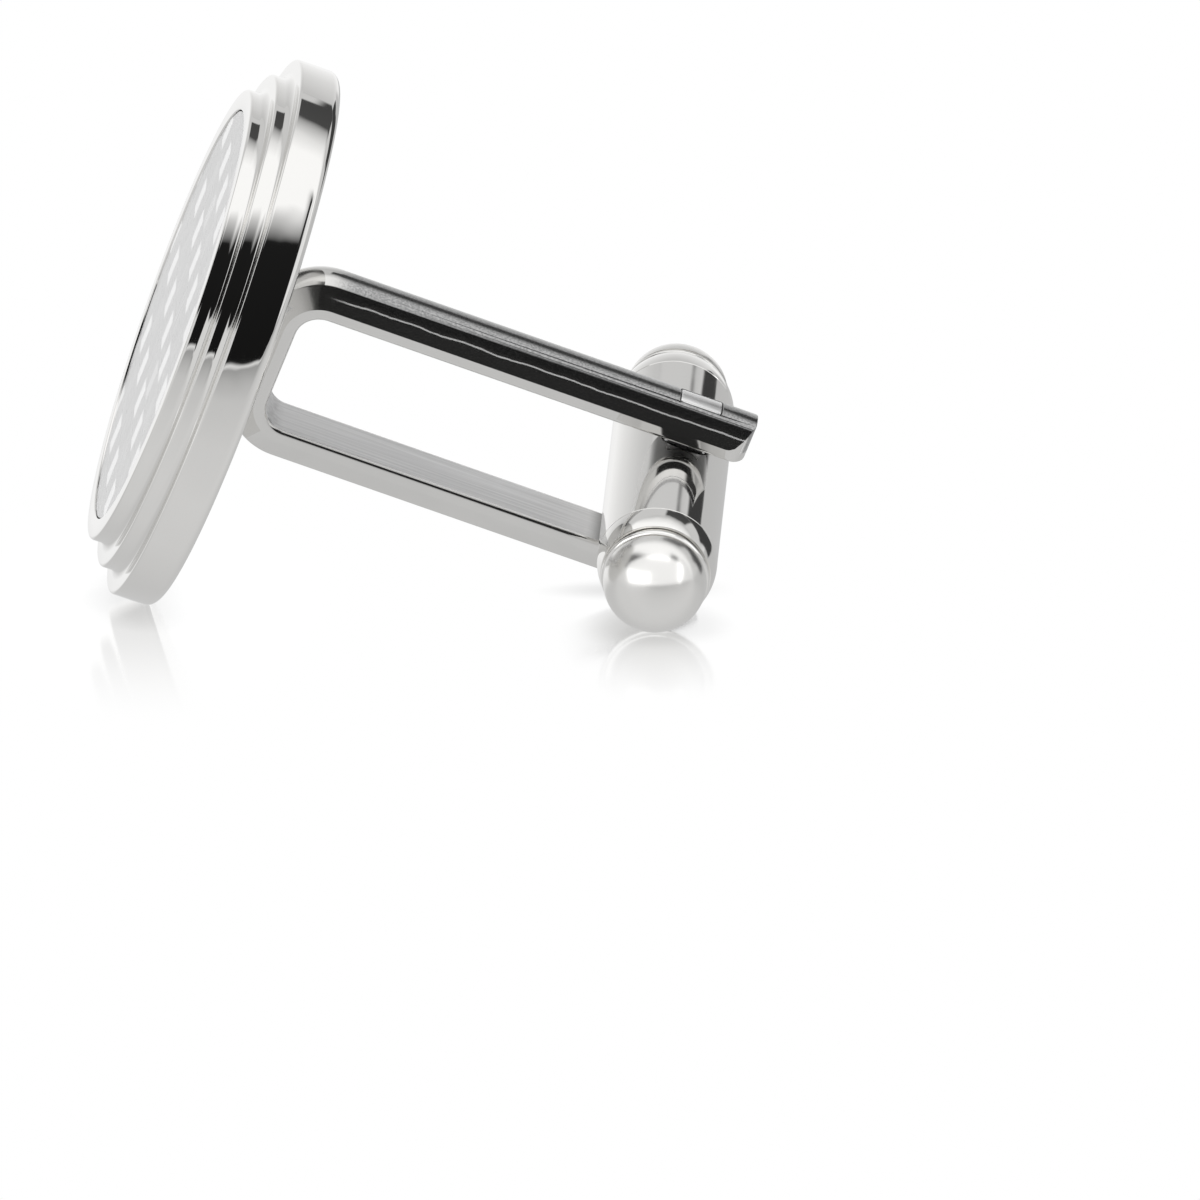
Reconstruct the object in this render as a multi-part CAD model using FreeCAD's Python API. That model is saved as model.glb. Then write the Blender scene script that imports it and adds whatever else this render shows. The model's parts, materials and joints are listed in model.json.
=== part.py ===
import FreeCAD, Part
import math
import os

# Cufflink with a stepped round head, a woven inlay, a yoke and a turning toggle.
# Millimetres. The face lies on the plane Z = 0, the yoke and toggle stand above it.
# X runs along the closed toggle, Y along the pivot bar, Z from the face to the toggle.

# Head: three round steps, from the face back
HEAD_DIAMETER = 19.0
STEP_WIDTH = 0.75
TOP_HEIGHT = 0.62
MIDDLE_HEIGHT = 0.62
BASE_HEIGHT = 1.5
STEP_COVE_RADIUS = 0.28
STEP_EDGE_RADIUS = 0.1
BACK_EDGE_RADIUS = 0.35

# Inlay and its bond in the pocket of the face, inside the lip of the top step
LIP_WIDTH = 0.735
INLAY_THICKNESS = 0.6
INLAY_SETBACK = 0.05
INLAY_CLEARANCE = 0.04
ADHESIVE_THICKNESS = 0.1
ADHESIVE_MARGIN = 0.25

# Yoke: a bar of D section bent to a U
TOGGLE_SIDE_CLEARANCE = 0.22
ARM_WIDTH = 2.2
ARM_THICKNESS = 1.36
ARM_SIDE_WALL = 0.35
YOKE_BEND_RADIUS = 0.85
ARM_TIP_RADIUS = 0.8
ARM_BEYOND_PIVOT = 2.0
PIVOT_HEIGHT = 15.05
FOOT_WIDTH = 2.4
FOOT_LENGTH = 5.0
FOOT_HEIGHT = 0.45
TENON_DIAMETER = 1.6
TENON_LENGTH = 0.6
TENON_CLEARANCE = 0.03

# Pivot bar: rectangular, its corners turned round where the toggle runs
BAR_LENGTHWAYS = 1.45
BAR_CROSSWAYS = 0.9
BAR_CORNER_TURNING = 0.023
BAR_SLOT_CLEARANCE = 0.02
BAR_PROUD = 0.03

# Toggle: a tube closed by two domed caps
BARREL_DIAMETER = 4.04
BARREL_LENGTH = 10.5
BARREL_WALL = 0.52
PIVOT_CLEARANCE = 0.03
SHOULDER_LENGTH = 0.95
SHOULDER_DROP = 0.17
RING_WIDTH = 0.16
RING_DROP = 0.035
RING_GROOVE_WIDTH = 0.08
RING_GROOVE_DEPTH = 0.09
DOME_DROP = 0.035
PLUG_LENGTH = 1.4
PLUG_CLEARANCE = 0.01

# Detent springs: two bowed leaves along the barrel, one on each side of the bar
LEAF_THICKNESS = 0.2
LEAF_WIDTH = 1.8
LEAF_END_CLEARANCE = 0.15
LEAF_BORE_CLEARANCE = 0.03
LEAF_BAR_CLEARANCE = 0.01

# Places that follow from the sizes
BASE_RADIUS = HEAD_DIAMETER / 2
MIDDLE_RADIUS = BASE_RADIUS - STEP_WIDTH
TOP_RADIUS = MIDDLE_RADIUS - STEP_WIDTH
MIDDLE_BACK = TOP_HEIGHT + MIDDLE_HEIGHT
HEAD_BACK = MIDDLE_BACK + BASE_HEIGHT
POCKET_RADIUS = TOP_RADIUS - LIP_WIDTH
INLAY_RADIUS = POCKET_RADIUS - INLAY_CLEARANCE
POCKET_DEPTH = INLAY_SETBACK + INLAY_THICKNESS + ADHESIVE_THICKNESS
PIVOT_Z = HEAD_BACK + PIVOT_HEIGHT
ARM_TIP_Z = PIVOT_Z + ARM_BEYOND_PIVOT
BARREL_RADIUS = BARREL_DIAMETER / 2
ARM_INNER = BARREL_RADIUS + TOGGLE_SIDE_CLEARANCE
ARM_CREST = ARM_INNER + ARM_THICKNESS
WEB_INNER_Z = HEAD_BACK + ARM_THICKNESS
BEND_Z = WEB_INNER_Z + YOKE_BEND_RADIUS
BEND_Y = ARM_INNER - YOKE_BEND_RADIUS
BAR_TURNED_RADIUS = math.hypot(BAR_LENGTHWAYS, BAR_CROSSWAYS) / 2 - BAR_CORNER_TURNING
BORE_RADIUS = BARREL_RADIUS - BARREL_WALL
BARREL_END = BARREL_LENGTH / 2
PLUG_FACE = BARREL_END - PLUG_LENGTH

# Share of a side that the rounding of one corner may take
CORNER_SHARE = 0.49

AXIS_X = FreeCAD.Vector(1, 0, 0)
AXIS_Y = FreeCAD.Vector(0, 1, 0)
AXIS_Z = FreeCAD.Vector(0, 0, 1)
ORIGIN = FreeCAD.Vector(0, 0, 0)
PIVOT = FreeCAD.Vector(0, 0, PIVOT_Z)


def rounded_outline(corners):
    """Closed wire through (point, radius) corners; a radius rounds its corner as far as its sides allow."""
    edges = []
    starts = []
    ends = []
    count = len(corners)
    for i, (point, radius) in enumerate(corners):
        before = corners[i - 1][0] - point
        after = corners[(i + 1) % count][0] - point
        if radius <= 0:
            starts.append(point)
            ends.append(point)
            continue
        half_turn = before.getAngle(after) / 2
        run = min(radius / math.tan(half_turn), CORNER_SHARE * before.Length, CORNER_SHARE * after.Length)
        fitted = run * math.tan(half_turn)
        to_before = FreeCAD.Vector(before).normalize()
        to_after = FreeCAD.Vector(after).normalize()
        inward = (to_before + to_after).normalize()
        start = point + to_before * run
        end = point + to_after * run
        middle = point + inward * (fitted / math.sin(half_turn) - fitted)
        edges.append(Part.Arc(start, middle, end).toShape())
        starts.append(start)
        ends.append(end)
    for i in range(count):
        edges.append(Part.LineSegment(ends[i], starts[(i + 1) % count]).toShape())
    return Part.Wire(Part.__sortEdges__(edges))


def turned(profile, axis_point, axis):
    """Solid of revolution from a list of (point, radius) corners."""
    face = Part.Face(rounded_outline(profile))
    return face.revolve(axis_point, axis, 360)


def radial(radius, z):
    """Point of a profile that turns about Z."""
    return FreeCAD.Vector(radius, 0, z)


def make_stepped_head():
    """Three steps with coves at their roots, a pocket in the face and a socket for the yoke's tenon."""
    socket_floor = HEAD_BACK - TENON_LENGTH - TENON_CLEARANCE
    socket_radius = TENON_DIAMETER / 2 + TENON_CLEARANCE
    profile = [
        (radial(0, POCKET_DEPTH), 0),
        (radial(POCKET_RADIUS, POCKET_DEPTH), 0),
        (radial(POCKET_RADIUS, 0), 0),
        (radial(TOP_RADIUS, 0), STEP_EDGE_RADIUS),
        (radial(TOP_RADIUS, TOP_HEIGHT), STEP_COVE_RADIUS),
        (radial(MIDDLE_RADIUS, TOP_HEIGHT), STEP_EDGE_RADIUS),
        (radial(MIDDLE_RADIUS, MIDDLE_BACK), STEP_COVE_RADIUS),
        (radial(BASE_RADIUS, MIDDLE_BACK), STEP_EDGE_RADIUS),
        (radial(BASE_RADIUS, HEAD_BACK), BACK_EDGE_RADIUS),
        (radial(socket_radius, HEAD_BACK), 0),
        (radial(socket_radius, socket_floor), 0),
        (radial(0, socket_floor), 0),
    ]
    return turned(profile, ORIGIN, AXIS_Z)


def make_inlay_adhesive():
    """Film between the pocket's floor and the inlay, a little smaller than the inlay."""
    inlay_side = FreeCAD.Vector(0, 0, POCKET_DEPTH - ADHESIVE_THICKNESS)
    return Part.makeCylinder(INLAY_RADIUS - ADHESIVE_MARGIN, ADHESIVE_THICKNESS, inlay_side, AXIS_Z)


def make_woven_inlay():
    """Flat disc of woven laminate, set just behind the lip of the face."""
    return Part.makeCylinder(INLAY_RADIUS, INLAY_THICKNESS, FreeCAD.Vector(0, 0, INLAY_SETBACK), AXIS_Z)


def arm_section(side, z):
    """Face of the yoke's D section at a height: flat inside, low side walls, crowned outside."""
    half = ARM_WIDTH / 2
    inner = side * ARM_INNER
    wall_top = side * (ARM_INNER + ARM_SIDE_WALL)
    near_root = FreeCAD.Vector(-half, inner, z)
    far_root = FreeCAD.Vector(half, inner, z)
    near_wall = FreeCAD.Vector(-half, wall_top, z)
    far_wall = FreeCAD.Vector(half, wall_top, z)
    crown_height = ARM_THICKNESS - ARM_SIDE_WALL
    crown_middle = FreeCAD.Vector(0, wall_top, z)
    crest = FreeCAD.Vector(0, side * ARM_CREST, z)
    if half >= crown_height:
        ellipse = Part.Ellipse(far_wall, crest, crown_middle)
    else:
        ellipse = Part.Ellipse(crest, far_wall, crown_middle)
    full_turn = ellipse.LastParameter - ellipse.FirstParameter
    ends = sorted([ellipse.parameter(near_wall), ellipse.parameter(far_wall)])
    crest_at = ellipse.parameter(crest)
    if not ends[0] < crest_at < ends[1]:
        ends = [ends[1], ends[0] + full_turn]
    crown = ellipse.toShape(ends[0], ends[1])
    sides = [
        Part.LineSegment(far_wall, far_root).toShape(),
        Part.LineSegment(far_root, near_root).toShape(),
        Part.LineSegment(near_root, near_wall).toShape(),
    ]
    return Part.Face(Part.Wire(Part.__sortEdges__([crown] + sides)))


def bar_section_prism(length, clearance):
    """Pivot bar's rectangular section with turned corners, along Y, centred on the pivot."""
    crossways = BAR_CROSSWAYS + 2 * clearance
    lengthways = BAR_LENGTHWAYS + 2 * clearance
    corner = FreeCAD.Vector(-crossways / 2, -length / 2, PIVOT_Z - lengthways / 2)
    block = Part.makeBox(crossways, length, lengthways, corner)
    turned_start = FreeCAD.Vector(0, -length / 2, PIVOT_Z)
    turning = Part.makeCylinder(BAR_TURNED_RADIUS + clearance, length, turned_start, AXIS_Y)
    return block.common(turning)


def make_yoke():
    """Soldering foot and tenon, a U of D section standing on them, and slots for the pivot bar."""
    tenon_start = FreeCAD.Vector(0, 0, HEAD_BACK - TENON_LENGTH)
    yoke = Part.makeCylinder(TENON_DIAMETER / 2, TENON_LENGTH, tenon_start, AXIS_Z)
    foot_outline = rounded_outline([
        (FreeCAD.Vector(x, y, HEAD_BACK), FOOT_WIDTH / 2)
        for x, y in (
            (-FOOT_WIDTH / 2, -FOOT_LENGTH / 2), (FOOT_WIDTH / 2, -FOOT_LENGTH / 2),
            (FOOT_WIDTH / 2, FOOT_LENGTH / 2), (-FOOT_WIDTH / 2, FOOT_LENGTH / 2))
    ])
    yoke = yoke.fuse(Part.Face(foot_outline).extrude(AXIS_Z * FOOT_HEIGHT))
    for side in (1, -1):
        section = arm_section(side, BEND_Z)
        bend_centre = FreeCAD.Vector(0, side * BEND_Y, BEND_Z)
        arm = section.extrude(AXIS_Z * (ARM_TIP_Z - BEND_Z))
        bend = section.revolve(bend_centre, AXIS_X * -side, 90)
        web_section = section.copy()
        web_section.rotate(bend_centre, AXIS_X * -side, 90)
        half_web = web_section.extrude(AXIS_Y * (-side * BEND_Y))
        yoke = yoke.fuse([arm, bend, half_web])
    half = ARM_WIDTH / 2
    tip_corner = FreeCAD.Vector(-half, -ARM_CREST, ARM_TIP_Z - ARM_TIP_RADIUS)
    blank = Part.makeBox(ARM_WIDTH, 2 * ARM_CREST, ARM_TIP_RADIUS, tip_corner)
    tip_outline = rounded_outline([
        (FreeCAD.Vector(-half, -ARM_CREST, BEND_Z), 0),
        (FreeCAD.Vector(half, -ARM_CREST, BEND_Z), 0),
        (FreeCAD.Vector(half, -ARM_CREST, ARM_TIP_Z), ARM_TIP_RADIUS),
        (FreeCAD.Vector(-half, -ARM_CREST, ARM_TIP_Z), ARM_TIP_RADIUS),
    ])
    yoke = yoke.cut(blank.cut(Part.Face(tip_outline).extrude(AXIS_Y * (2 * ARM_CREST))))
    yoke = yoke.cut(bar_section_prism(2 * ARM_CREST, BAR_SLOT_CLEARANCE))
    return yoke.removeSplitter()


def make_pivot_bar():
    """Bar through both arms, its flat ends just proud of the crowns."""
    return bar_section_prism(2 * (ARM_CREST + BAR_PROUD), 0)


def make_toggle_barrel():
    """Tube along X with round cross holes that run on the turned corners of the bar."""
    start = FreeCAD.Vector(-BARREL_END, 0, PIVOT_Z)
    tube = Part.makeCylinder(BARREL_RADIUS, BARREL_LENGTH, start, AXIS_X)
    bore = Part.makeCylinder(BORE_RADIUS, BARREL_LENGTH, start, AXIS_X)
    hole_start = FreeCAD.Vector(0, -BARREL_RADIUS, PIVOT_Z)
    hole = Part.makeCylinder(BAR_TURNED_RADIUS + PIVOT_CLEARANCE, BARREL_DIAMETER, hole_start, AXIS_Y)
    return tube.cut(bore).cut(hole)


def make_toggle_cap(side):
    """Cap with a plug in the bore, a rounded shoulder, a ring between two fine grooves and a round dome."""
    plug_radius = BORE_RADIUS - PLUG_CLEARANCE
    shoulder_radius = BARREL_RADIUS - SHOULDER_DROP
    ring_radius = shoulder_radius - RING_DROP
    dome_radius = ring_radius - DOME_DROP
    groove_radius = dome_radius - RING_GROOVE_DEPTH
    shoulder_end = BARREL_END + SHOULDER_LENGTH
    ring_start = shoulder_end + RING_GROOVE_WIDTH
    ring_end = ring_start + RING_WIDTH
    dome_start = ring_end + RING_GROOVE_WIDTH

    def at(along, radius):
        return FreeCAD.Vector(side * along, 0, PIVOT_Z + radius)

    def lines(points):
        return [Part.LineSegment(a, b).toShape() for a, b in zip(points, points[1:])]

    # The shoulder leaves the barrel tangent to it, on a circle through the shoulder's end
    curve_radius = (SHOULDER_LENGTH ** 2 + SHOULDER_DROP ** 2) / (2 * SHOULDER_DROP)
    half_turn = math.asin(SHOULDER_LENGTH / curve_radius) / 2
    shoulder_middle = at(
        BARREL_END + curve_radius * math.sin(half_turn),
        BARREL_RADIUS - curve_radius * (1 - math.cos(half_turn)))
    eighth_turn = math.pi / 4
    dome_middle = at(
        dome_start + dome_radius * math.sin(eighth_turn),
        dome_radius * math.cos(eighth_turn))
    plug = [
        at(PLUG_FACE, 0),
        at(PLUG_FACE, plug_radius),
        at(BARREL_END, plug_radius),
        at(BARREL_END, BARREL_RADIUS),
    ]
    rings = [
        at(shoulder_end, shoulder_radius),
        at(shoulder_end, groove_radius),
        at(ring_start, groove_radius),
        at(ring_start, ring_radius),
        at(ring_end, ring_radius),
        at(ring_end, groove_radius),
        at(dome_start, groove_radius),
        at(dome_start, dome_radius),
    ]
    dome_tip = at(dome_start + dome_radius, 0)
    edges = lines(plug)
    edges.append(Part.Arc(plug[-1], shoulder_middle, rings[0]).toShape())
    edges += lines(rings)
    edges.append(Part.Arc(rings[-1], dome_middle, dome_tip).toShape())
    edges += lines([dome_tip, plug[0]])
    return Part.Face(Part.Wire(edges)).revolve(PIVOT, AXIS_X, 360)


def make_detent_spring(side):
    """Bowed leaf: its middle lies on a flat of the bar and its ends reach out to the bore."""
    half_length = PLUG_FACE - LEAF_END_CLEARANCE
    middle_inner = BAR_LENGTHWAYS / 2 + LEAF_BAR_CLEARANCE
    end_outer = math.sqrt((BORE_RADIUS - LEAF_BORE_CLEARANCE) ** 2 - (LEAF_WIDTH / 2) ** 2)
    end_inner = end_outer - LEAF_THICKNESS

    def at(along, out):
        return FreeCAD.Vector(along, -LEAF_WIDTH / 2, PIVOT_Z + side * out)

    inner = Part.Arc(at(-half_length, end_inner), at(0, middle_inner), at(half_length, end_inner)).toShape()
    outer = Part.Arc(
        at(-half_length, end_outer), at(0, middle_inner + LEAF_THICKNESS), at(half_length, end_outer)).toShape()
    first_end = Part.LineSegment(at(-half_length, end_inner), at(-half_length, end_outer)).toShape()
    last_end = Part.LineSegment(at(half_length, end_inner), at(half_length, end_outer)).toShape()
    outline = Part.Wire(Part.__sortEdges__([inner, last_end, outer, first_end]))
    return Part.Face(outline).extrude(AXIS_Y * LEAF_WIDTH)


def main():
    nodes = {
        "stepped_head": make_stepped_head(),
        "inlay_adhesive": make_inlay_adhesive(),
        "woven_inlay": make_woven_inlay(),
        "yoke": make_yoke(),
        "pivot_bar": make_pivot_bar(),
        "toggle_barrel": make_toggle_barrel(),
        "toggle_cap_near": make_toggle_cap(-1),
        "toggle_cap_far": make_toggle_cap(1),
        "detent_spring_upper": make_detent_spring(1),
        "detent_spring_lower": make_detent_spring(-1),
    }
    os.makedirs("parts", exist_ok=True)
    for name, shape in nodes.items():
        shape.exportStep("parts/" + name + ".step")
        print(name, shape.isValid(), len(shape.Solids), round(shape.Volume, 3))


main()
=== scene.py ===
import json
import math

import bmesh
import bpy
from mathutils import Matrix, Vector


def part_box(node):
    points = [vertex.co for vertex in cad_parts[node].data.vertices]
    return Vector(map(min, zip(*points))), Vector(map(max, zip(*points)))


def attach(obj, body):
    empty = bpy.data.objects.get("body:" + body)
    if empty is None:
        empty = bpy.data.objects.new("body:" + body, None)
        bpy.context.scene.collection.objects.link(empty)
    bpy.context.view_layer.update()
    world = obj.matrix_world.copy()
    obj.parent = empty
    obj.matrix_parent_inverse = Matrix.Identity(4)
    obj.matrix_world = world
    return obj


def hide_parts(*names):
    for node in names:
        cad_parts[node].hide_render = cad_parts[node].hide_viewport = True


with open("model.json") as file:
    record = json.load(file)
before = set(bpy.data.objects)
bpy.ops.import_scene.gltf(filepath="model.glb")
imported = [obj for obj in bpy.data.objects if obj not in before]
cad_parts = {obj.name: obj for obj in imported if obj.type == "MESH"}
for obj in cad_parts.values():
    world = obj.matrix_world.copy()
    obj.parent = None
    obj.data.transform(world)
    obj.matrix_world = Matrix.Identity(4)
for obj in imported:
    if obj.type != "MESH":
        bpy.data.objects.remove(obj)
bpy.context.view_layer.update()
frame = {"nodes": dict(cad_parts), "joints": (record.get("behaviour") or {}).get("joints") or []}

MM = 0.001

# Head: overall sizes from the frame, steps and roundings as real sizes
HEAD_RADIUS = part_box("stepped_head")[1].x
HEAD_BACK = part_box("stepped_head")[1].z
STEP_WIDTH = 0.75 * MM
TIER_HEIGHT = 0.62 * MM
LIP_WIDTH = 0.735 * MM
POCKET_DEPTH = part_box("inlay_adhesive")[1].z
STEP_COVE = 0.28 * MM
STEP_EDGE = 0.1 * MM
LIP_EDGE = 0.04 * MM
BACK_EDGE = 0.35 * MM
BACK_FLAT_INSET = 0.25 * MM

# Woven inlay: squares of the weave, its turn about Z and the middle of one bright square
INLAY_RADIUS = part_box("woven_inlay")[1].x
INLAY_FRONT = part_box("woven_inlay")[0].z
INLAY_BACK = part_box("woven_inlay")[1].z
WEAVE_SQUARE = 1.34 * MM
WEAVE_SQUARES_ACROSS = 14
WEAVE_TURN = math.radians(-4.5)
WEAVE_BRIGHT_SQUARE = Vector((2.06, 2.3, 0)) * MM
WEAVE_RELIEF = 0.015 * MM
WEAVE_SEAM = 0.12 * MM

# Yoke: D section with the crown's angles in degrees, bends, tips, soldering foot and the marks outside
ARM_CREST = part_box("yoke")[1].y
ARM_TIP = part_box("yoke")[1].z
ARM_HALF_WIDTH = 1.1 * MM
ARM_THICKNESS = 1.36 * MM
ARM_CROWN_RADIUS = 1.2 * MM
ARM_CROWN_SWEEP = 33
ARM_FACET_TILT = 60
ARM_FACET_BLEND = 0.15 * MM
ARM_INNER_EDGE = 0.16 * MM
ARM_TIP_RADIUS = 0.8 * MM
ARM_TIP_FACETS = 8
ARM_END_EDGE = 0.04 * MM
ARM_INNER = ARM_CREST - ARM_THICKNESS
BEND_RADIUS = 0.85 * MM
BEND_Y = ARM_INNER - BEND_RADIUS
BEND_Z = HEAD_BACK + ARM_THICKNESS + BEND_RADIUS
FOOT_WIDTH = 2.4 * MM
FOOT_LENGTH = 5.0 * MM
FOOT_HEIGHT = 0.45 * MM
FOOT_EDGE = 0.2 * MM
WEB_SOLE = 0.02 * MM
STREAK_CORE = 0.76 * MM
STREAK_EDGE = 0.83 * MM
PARTING_LINE = 0.86 * MM
LOWER_STREAK_NARROWER = 0.3 * MM

# Pivot bar
PIVOT_Z = frame["joints"][0]["pos_m"][2]
BAR_HALF_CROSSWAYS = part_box("pivot_bar")[1].x
BAR_HALF_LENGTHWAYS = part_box("pivot_bar")[1].z - PIVOT_Z
BAR_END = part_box("pivot_bar")[1].y
BAR_CORNER = 0.12 * MM
BAR_END_DROP = 0.01 * MM
BAR_END_EDGE = 0.05 * MM
BAR_SLOT_CLEARANCE = 0.02 * MM

# Toggle: tube, cross holes and turned ends
BARREL_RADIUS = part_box("toggle_barrel")[1].y
BARREL_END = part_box("toggle_barrel")[1].x
BARREL_WALL = 0.52 * MM
BARREL_SEAM = 0.025 * MM
PIVOT_HOLE_RADIUS = 0.86 * MM
CAP_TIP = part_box("toggle_cap_far")[1].x
PLUG_LENGTH = 1.4 * MM
PLUG_CLEARANCE = 0.01 * MM
SHOULDER_LENGTH = 0.95 * MM
SHOULDER_DROP = 0.17 * MM
RING_WIDTH = 0.24 * MM
RING_DROP = 0.035 * MM
GROOVE_WIDTH = 0.12 * MM
GROOVE_DEPTH = 0.09 * MM
DOME_DROP = 0.075 * MM
DOME_SATIN_LENGTH = 1.62 * MM

# Fineness of the meshes, how near a vertex lies to a place that is looked for, and angles of sharp edges
TURNED_SIDES = 192
CROWN_STEPS = 14
BEND_STEPS = 20
DOME_STEPS = 32
SHOULDER_STEPS = 10
CORNER_STEPS = 6
FOOT_END_STEPS = 24
RING_STEPS = 8
HOLE_SIDES = 64
FLOOR_SIDES = 96
CLOSE = 0.005 * MM
TOUCHING = 0.0001 * MM
SMOOTH_ANGLE = math.radians(38)
SHARP_EDGE_ANGLE = math.radians(20)
HARD_EDGE_ANGLE = math.radians(45)

# Photograph's viewing angle: axes of the image, middle of the image and its width at the object
VIEW_RIGHT = Vector((0.0557, 0.3429, 0.9377))
VIEW_UP = Vector((0.4736, 0.8177, -0.3271))
VIEW_BACK = Vector((-0.8790, 0.4623, -0.1168))
VIEW_AIM = Vector((-3.46, -3.038, 16.752)) * MM
VIEW_WIDTH = 40.296 * MM
VIEW_DISTANCE = 1.5
SENSOR_WIDTH = 36

# Studio: the surface that the cufflink leans on in the photograph, and the way to its front
STUDIO_UP = Vector((0.280, 0.896, -0.344)).normalized()
STUDIO_RIGHT = VIEW_RIGHT.normalized()
STUDIO_FRONT = STUDIO_RIGHT.cross(STUDIO_UP)
RIM_CONTACT = Vector((-2.82, -9.02, 2.74)) * MM
DOME_CONTACT = Vector((-7.02, -1.6, 18.4)) * MM
FLOOR_LEVEL = -9.8 * MM
FLOOR_RADIUS = 60 * MM
TABLE_LEVEL = -0.03 * MM
TABLE_RADIUS = 90 * MM
DOME_LIGHT_WAY = (STUDIO_UP * 0.545 + STUDIO_FRONT * 0.839).normalized()
DOME_LIGHT_WIDTH = 220 * MM
DOME_LIGHT_HEIGHT = 81 * MM
DOME_LIGHT_DISTANCE = 60 * MM
DOME_LIGHT_LEVEL = 1.0


def begin(name, add, **settings):
    """Adds a primitive at its size and place, with its place in its mesh, and opens it in edit mode."""
    bpy.ops.object.select_all(action="DESELECT")
    add(**settings)
    piece = bpy.context.object
    piece.name = name
    piece.data.name = name
    bpy.ops.object.transform_apply(location=True, rotation=True, scale=True)
    bpy.ops.object.mode_set(mode="EDIT")
    bpy.ops.mesh.select_mode(type="VERT")
    bpy.ops.mesh.select_all(action="SELECT")
    return piece


def pick(kind, wanted):
    """Selects the faces or edges in edit mode that a test of their place or normal accepts."""
    mesh = bpy.context.edit_object.data
    bpy.ops.mesh.select_mode(type={"faces": "FACE", "edges": "EDGE"}[kind])
    bpy.ops.mesh.select_all(action="DESELECT")
    shape = bmesh.from_edit_mesh(mesh)
    for part in getattr(shape, kind):
        if wanted(part):
            part.select_set(True)
    bmesh.update_edit_mesh(mesh)


def push(*shift):
    """Extrudes what is selected by a shift."""
    bpy.ops.mesh.extrude_region_move(TRANSFORM_OT_translate={"value": shift})


def mend():
    """Merges doubled vertices, turns all faces outwards and leaves edit mode."""
    bpy.ops.mesh.select_all(action="SELECT")
    bpy.ops.mesh.remove_doubles(threshold=TOUCHING)
    bpy.ops.mesh.select_all(action="SELECT")
    bpy.ops.mesh.normals_make_consistent(inside=False)
    bpy.ops.object.mode_set(mode="OBJECT")


def draw(name, points):
    """Draws a line through points, extruded from one vertex, and leaves all of it selected."""
    piece = begin(name, bpy.ops.mesh.primitive_plane_add, size=MM, location=points[0])
    bpy.ops.mesh.merge(type="CENTER")
    for start, end in zip(points, points[1:]):
        bpy.ops.mesh.extrude_vertices_move(TRANSFORM_OT_translate={"value": end - start})
    bpy.ops.mesh.select_all(action="SELECT")
    return piece


def apply_modifier(piece, kind, **settings):
    """Adds a modifier with its settings and applies it."""
    bpy.ops.object.select_all(action="DESELECT")
    piece.select_set(True)
    bpy.context.view_layer.objects.active = piece
    modifier = piece.modifiers.new(kind.lower(), kind)
    for name, value in settings.items():
        setattr(modifier, name, value)
    bpy.ops.object.modifier_apply(modifier=modifier.name)


def combine(piece, tool, operation):
    """Cuts, joins or trims a piece with a second shape, which is then removed."""
    apply_modifier(piece, "BOOLEAN", object=tool, operation=operation, solver="EXACT")
    bpy.data.objects.remove(tool)


def arc(start, end, steps):
    """Angles from start to end, both in degrees, in equal steps."""
    return [math.radians(start + (end - start) * step / steps) for step in range(steps + 1)]


def middle_of(edge):
    """Point halfway along an edge."""
    return (edge.verts[0].co + edge.verts[1].co) / 2


def on_ring(edge, radius, z):
    """Whether an edge lies on a circle about Z."""
    return all(
        abs(vertex.co.xy.length - radius) < CLOSE and abs(vertex.co.z - z) < CLOSE
        for vertex in edge.verts
    )


def make_head():
    """Disc turned into three steps with coves, a lip and a pocket in its front."""
    base_front = 2 * TIER_HEIGHT
    head = begin(
        "head_shell", bpy.ops.mesh.primitive_cylinder_add,
        vertices=TURNED_SIDES, radius=HEAD_RADIUS, depth=HEAD_BACK - base_front,
        location=(0, 0, (HEAD_BACK + base_front) / 2),
    )
    pick("faces", lambda face: face.normal.z < -0.9)
    for width, rise in ((STEP_WIDTH, -TIER_HEIGHT), (STEP_WIDTH, -TIER_HEIGHT), (LIP_WIDTH, POCKET_DEPTH)):
        bpy.ops.mesh.inset(thickness=width)
        push(0, 0, rise)
    middle_radius = HEAD_RADIUS - STEP_WIDTH
    top_radius = middle_radius - STEP_WIDTH
    roundings = (
        (HEAD_RADIUS, HEAD_BACK, BACK_EDGE, 10),
        (HEAD_RADIUS, base_front, STEP_EDGE, 4),
        (middle_radius, base_front, STEP_COVE, 8),
        (middle_radius, TIER_HEIGHT, STEP_EDGE, 4),
        (top_radius, TIER_HEIGHT, STEP_COVE, 8),
        (top_radius, 0, STEP_EDGE, 4),
        (top_radius - LIP_WIDTH, 0, LIP_EDGE, 3),
    )
    for radius, z, rounding, steps in roundings:
        pick("edges", lambda edge: on_ring(edge, radius, z))
        bpy.ops.mesh.bevel(offset=rounding, segments=steps, affect="EDGES")
    pick("faces", lambda face: face.normal.z > 0.99 and len(face.verts) > 4)
    bpy.ops.mesh.inset(thickness=BACK_FLAT_INSET)
    mend()
    return head


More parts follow.
